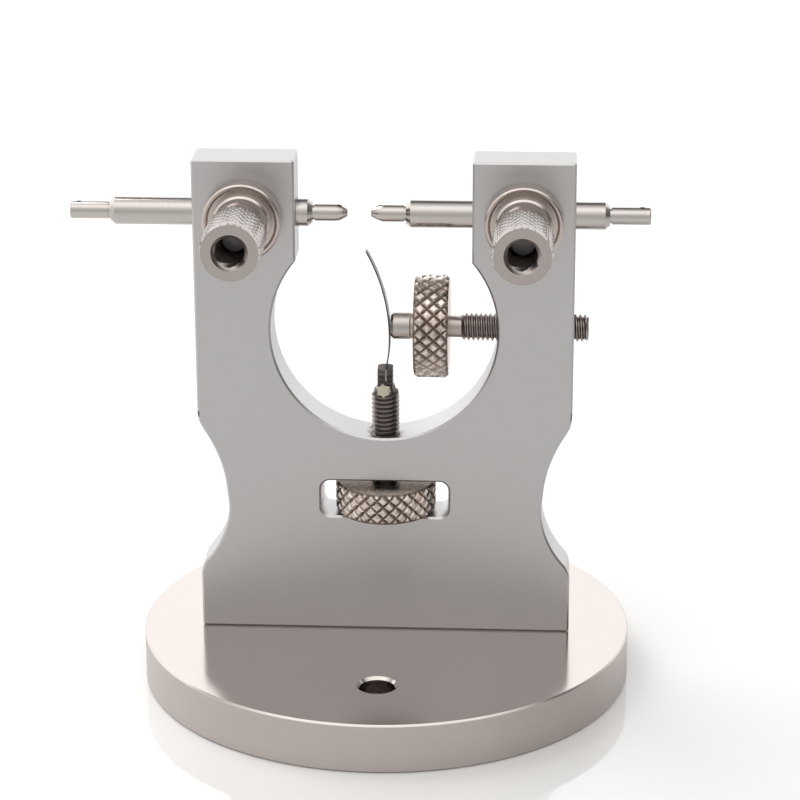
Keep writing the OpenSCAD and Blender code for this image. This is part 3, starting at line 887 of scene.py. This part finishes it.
def knurled_steel(name, wheel, turn):
    """Turned steel with a fine speckle, whose grooves are darkened with painted shade: the
    colour follows the depth below the rim, down to a little past the floor of the grooves."""
    low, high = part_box(wheel)
    centre = middle(wheel)
    material = turned_steel(name, WHEEL_COLOUR, WHEEL_ROUGHNESS, centre, turn)
    tree, surface = nodes_of(material)
    place = place_from(tree, centre, turn)
    speck = noise_of(tree, place, SPECK_SCALE, SPECK_DETAIL)
    stain_and_shade(material, 1.0, spread(tree, speck, *SPECK_SHARES, *SPECK_BAND))
    # Painted shade in the knurl's grooves, darker with depth below the rim.
    inward = math_of(tree, "SUBTRACT", (high.y - low.y) / 2, reach_of(tree, place))
    depth = math_of(tree, "DIVIDE", inward, KNURL_DEPTH)
    clipped = math_of(tree, "MINIMUM", math_of(tree, "MAXIMUM", depth, 0.0), 1.0)
    rolled = math_of(tree, "LESS_THAN", depth, FACE_FROM)
    groove_shade = math_of(tree, "MULTIPLY", math_of(tree, "POWER", clipped, GROOVE_SHADE_CURVE), rolled)
    plain_colour = fed_by(surface["Base Color"])
    plug(tree, mixed(tree, groove_shade, plain_colour, (*GROOVE_SHADE_COLOUR, 1)), surface["Base Color"])
    return material


dress("lift_wheel", knurled_steel("lift_wheel_steel", "lift_wheel", ALONG_Z))

# The feeler screw is a threaded steel rod that the wheel lifts. Its head is milled
# flat on two sides and slotted for the blade, and a keyway runs down its back. Old
# oil has dried on the head and made it dull and dark.
HEAD_W = 0.00158
HEAD_H = 0.0022
SHOULDER_H = 0.0008
SLOT_W = 0.00019
SLOT_X = 0.0001
SLOT_DEPTH = 0.0015
HEAD_EDGE = 0.00045
KEY_W = 0.0009
KEY_DEPTH = 0.00055
PIN_HOLE_WIDER = 0.00002
CUT_PAST = 0.001
BAR_SIDES = 48
FEELER_SCREW_COLOUR = (0.218, 0.192, 0.179)
FEELER_SCREW_ROUGHNESS = 0.36
FEELER_SCREW_RING_DEPTH = 0.1
HEAD_SHARE = 0.45
HEAD_METALLIC = 0.25
HEAD_ROUGHNESS = 0.55
HEAD_SPECULAR = 0.25


def block(low, high):
    """A closed box between two corners."""
    made = bmesh.new()
    size = Vector(high) - Vector(low)
    centre = (Vector(high) + Vector(low)) / 2
    spot = Matrix.Translation(centre) @ Matrix.Diagonal((*size, 1))
    bmesh.ops.create_cube(made, size=1, matrix=spot)
    return made


def prism(outline, y0, y1):
    """A closed prism: an outline in X and Z, run along Y."""
    made = bmesh.new()
    face = made.faces.new([made.verts.new((x, y0, z)) for x, z in outline])
    run = bmesh.ops.extrude_face_region(made, geom=[face])
    moved = [item for item in run["geom"] if isinstance(item, bmesh.types.BMVert)]
    bmesh.ops.translate(made, verts=moved, vec=(0, y1 - y0, 0))
    bmesh.ops.recalc_face_normals(made, faces=made.faces)
    return made


def round_bar(centre, radius, length):
    """A closed round bar along Y, round a centre."""
    made = bmesh.new()
    bmesh.ops.create_cone(made, cap_ends=True, segments=BAR_SIDES, radius1=radius, radius2=radius,
                          depth=length)
    lay(made, centre, "X")
    return made


def cut_away(made, *tools):
    """The first solid with the others cut out of it."""
    scrap = []
    for solid in (made, *tools):
        mesh = bpy.data.meshes.new("blank")
        solid.to_mesh(mesh)
        solid.free()
        scrap.append(in_scene("blank", mesh))
    for tool in scrap[1:]:
        cut = scrap[0].modifiers.new("cut", "BOOLEAN")
        cut.operation = "DIFFERENCE"
        cut.solver = "EXACT"
        cut.object = tool
    done = scrap[0].evaluated_get(bpy.context.evaluated_depsgraph_get())
    result = bmesh.new()
    result.from_mesh(done.to_mesh())
    done.to_mesh_clear()
    for item in scrap:
        mesh = item.data
        bpy.data.objects.remove(item)
        bpy.data.meshes.remove(mesh)
    return result


def feeler_screw_steel(shoulder_z):
    """Browned on the threads, and dull under dried lubricant above the shoulder."""
    steel = turned_steel("feeler_screw_steel", FEELER_SCREW_COLOUR, FEELER_SCREW_ROUGHNESS,
                         (0, 0, 0), ALONG_Z, FEELER_SCREW_RING_DEPTH)
    tree, surface = nodes_of(steel)
    head = beyond(tree, (0, 0, shoulder_z), "Z")
    stain_and_shade(steel, head, HEAD_SHARE)
    dull = math_of(tree, "MULTIPLY", head, HEAD_ROUGHNESS)
    plug(tree, math_of(tree, "MAXIMUM", fed_by(surface["Roughness"]), dull), surface["Roughness"])
    plug(tree, spread(tree, head, 1.0, HEAD_METALLIC), surface["Metallic"])
    surface["Specular IOR Level"].default_value = HEAD_SPECULAR
    return steel


def feeler_screw():
    low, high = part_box("feeler_screw")
    radius = (high.x - low.x) / 2
    out = radius + CUT_PAST
    over = high.z + CUT_PAST
    head_z = high.z - HEAD_H
    shoulder_z = head_z - SHOULDER_H
    rod = threaded_rod(radius, high.z - low.z, HEAD_EDGE)
    bmesh.ops.translate(rod, verts=rod.verts, vec=(0, 0, low.z))
    flats = []
    for side in (-1, 1):
        outline = [(side * HEAD_W / 2, over), (side * HEAD_W / 2, head_z), (side * radius, shoulder_z),
                   (side * out, shoulder_z), (side * out, over)]
        flats.append(prism(outline, -out, out))
    slot = block((SLOT_X - SLOT_W / 2, -out, high.z - SLOT_DEPTH), (SLOT_X + SLOT_W / 2, out, over))
    keyway = block((-KEY_W / 2, radius - KEY_DEPTH, low.z - CUT_PAST), (KEY_W / 2, out, shoulder_z))
    pin_low, pin_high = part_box("feeler_pin")
    pin_hole_r = (pin_high.x - pin_low.x) / 2 + PIN_HOLE_WIDER
    pin_hole = round_bar((0, 0, (pin_low.z + pin_high.z) / 2), pin_hole_r, 2 * out)
    made = cut_away(rod, *flats, slot, keyway, pin_hole)
    placed("feeler_lift_screw", made, feeler_screw_steel(shoulder_z), "stem", "feeler_screw")


feeler_screw()

# A soft brass pin below the slot holds the blade's foot. Its end was riveted over
# the threads with a punch, so it spread into a pale star on the dark screw.
PIN_COLOUR = (0.56, 0.505, 0.43)
PIN_ROUGHNESS = 0.42
PIN_POINTS = 6
PIN_STAR = (0.0006, 0.00087)
PIN_STAR_SHIFT = -0.00016
PIN_STAR_TURN = 0.45
PIN_STAR_PROUD = 0.00003
PIN_STAR_DOME = 0.00003
PIN_STAR_RINGS = ((0.0007, 0.8), (0.00008, 1.0), (0.0, 0.86))


def riveted_pin():
    """The pin, and its star as a shell of its own. Each ring of the star has its place
    behind the front and its share of the star's size."""
    low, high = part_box("feeler_pin")
    centre = middle("feeler_pin")
    star_x = centre.x + PIN_STAR_SHIFT
    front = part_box("feeler_screw")[0].y - PIN_STAR_PROUD
    made = round_bar(centre, (high.x - low.x) / 2, high.y - low.y)
    rings = []
    for back, share in PIN_STAR_RINGS:
        ring = []
        for i in range(2 * PIN_POINTS):
            reach = PIN_STAR[i % 2] * share
            angle = math.pi * i / PIN_POINTS + PIN_STAR_TURN
            spot = (star_x + reach * math.sin(angle), front + back, centre.z + reach * math.cos(angle))
            ring.append(made.verts.new(spot))
        rings.append(ring)
    for behind, near in zip(rings, rings[1:]):
        join_rings(made, behind, near)
    made.faces.new(rings[0])
    top = made.verts.new((star_x, front - PIN_STAR_DOME, centre.z))
    for here, after in zip(rings[-1], rings[-1][1:] + rings[-1][:1]):
        made.faces.new((here, after, top))
    bmesh.ops.recalc_face_normals(made, faces=made.faces)
    metal = turned_steel("pin_brass", PIN_COLOUR, PIN_ROUGHNESS, centre, ALONG_Y)
    placed("riveted_pin", made, metal, "stem", "feeler_pin")


riveted_pin()

# The blade is a strip of blued spring steel that narrows towards its tip. Its foot
# was filed bright to fit the slot, and just above it the strip is cut into short rows for a bend.
BLADE_COLOUR = (0.075, 0.075, 0.077)
BLADE_ROUGHNESS = 0.28
BEND_LENGTH = 0.0019
BEND_CUTS = 12
FOOT_SHARE = 5.0


def feeler_blade():
    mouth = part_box("feeler_screw")[1].z
    made = frame_copy("feeler_blade")
    for step in range(BEND_CUTS + 1):
        cut_level(made, mouth + BEND_LENGTH * step / BEND_CUTS)
    steel = satin_steel("blade_steel", BLADE_COLOUR, BLADE_ROUGHNESS)
    filed = node_of(steel.node_tree, "ShaderNodeAttribute", attribute_name="filed_bright")
    stain_and_shade(steel, filed.outputs["Fac"], FOOT_SHARE)
    blade = placed("feeler_spring", made, steel, None, "feeler_blade")
    foot = blade.data.attributes.new("filed_bright", "FLOAT", "FACE")
    for polygon in blade.data.polygons:
        foot.data[polygon.index].value = 1.0 if polygon.center.z < mouth else 0.0
    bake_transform(blade)


feeler_blade()

# The side screw presses a swivel nose against the blade. A knurled wheel is pressed
# on its seat, and its thread runs through the right arm.
NOSE_COLOUR = (0.447, 0.41, 0.384)
NOSE_ROUGHNESS = 0.24
ADJUSTER_COLOUR = (0.44, 0.39, 0.365)
ADJUSTER_ROUGHNESS = 0.28
SIDE_THREAD_SHADE_SHARE = 0.5
SIDE_NECK_L = 0.0016


def side_screw():
    """The frame's screw up to its neck, with a cut thread whose grooves get painted shade."""
    low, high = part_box("adjuster_screw")
    centre = middle("adjuster_screw")
    radius = (high.y - low.y) / 2
    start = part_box("adjuster_wheel")[1].x + SIDE_NECK_L - END_CHAMFER
    made = frame_copy("adjuster_screw")
    cut_off(made, (start, 0, 0), (1, 0, 0))
    thread = threaded_rod(radius, high.x - start)
    lay(thread, (start, centre.y, centre.z), "Y")
    add_mesh(made, thread)
    steel = turned_steel("side_screw_steel", ADJUSTER_COLOUR, ADJUSTER_ROUGHNESS, centre, ALONG_X)
    tree = steel.node_tree
    reach = reach_of(tree, place_from(tree, centre, ALONG_X))
    # Painted shade in the thread's grooves, past the neck.
    grooves = spread(tree, reach, 1.0, 0.0, radius - THREAD_DEPTH, radius)
    threaded = beyond(tree, (start, 0, 0), "X")
    stain_and_shade(steel, math_of(tree, "MULTIPLY", grooves, threaded), SIDE_THREAD_SHADE_SHARE)
    placed("side_adjust_screw", made, steel, "adjuster", "adjuster_screw")


side_screw()
dress("adjuster_nose", turned_steel("nose_steel", NOSE_COLOUR, NOSE_ROUGHNESS, middle("adjuster_nose"),
                                    ALONG_X))
dress("adjuster_wheel", knurled_steel("side_wheel_steel", "adjuster_wheel", ALONG_X))
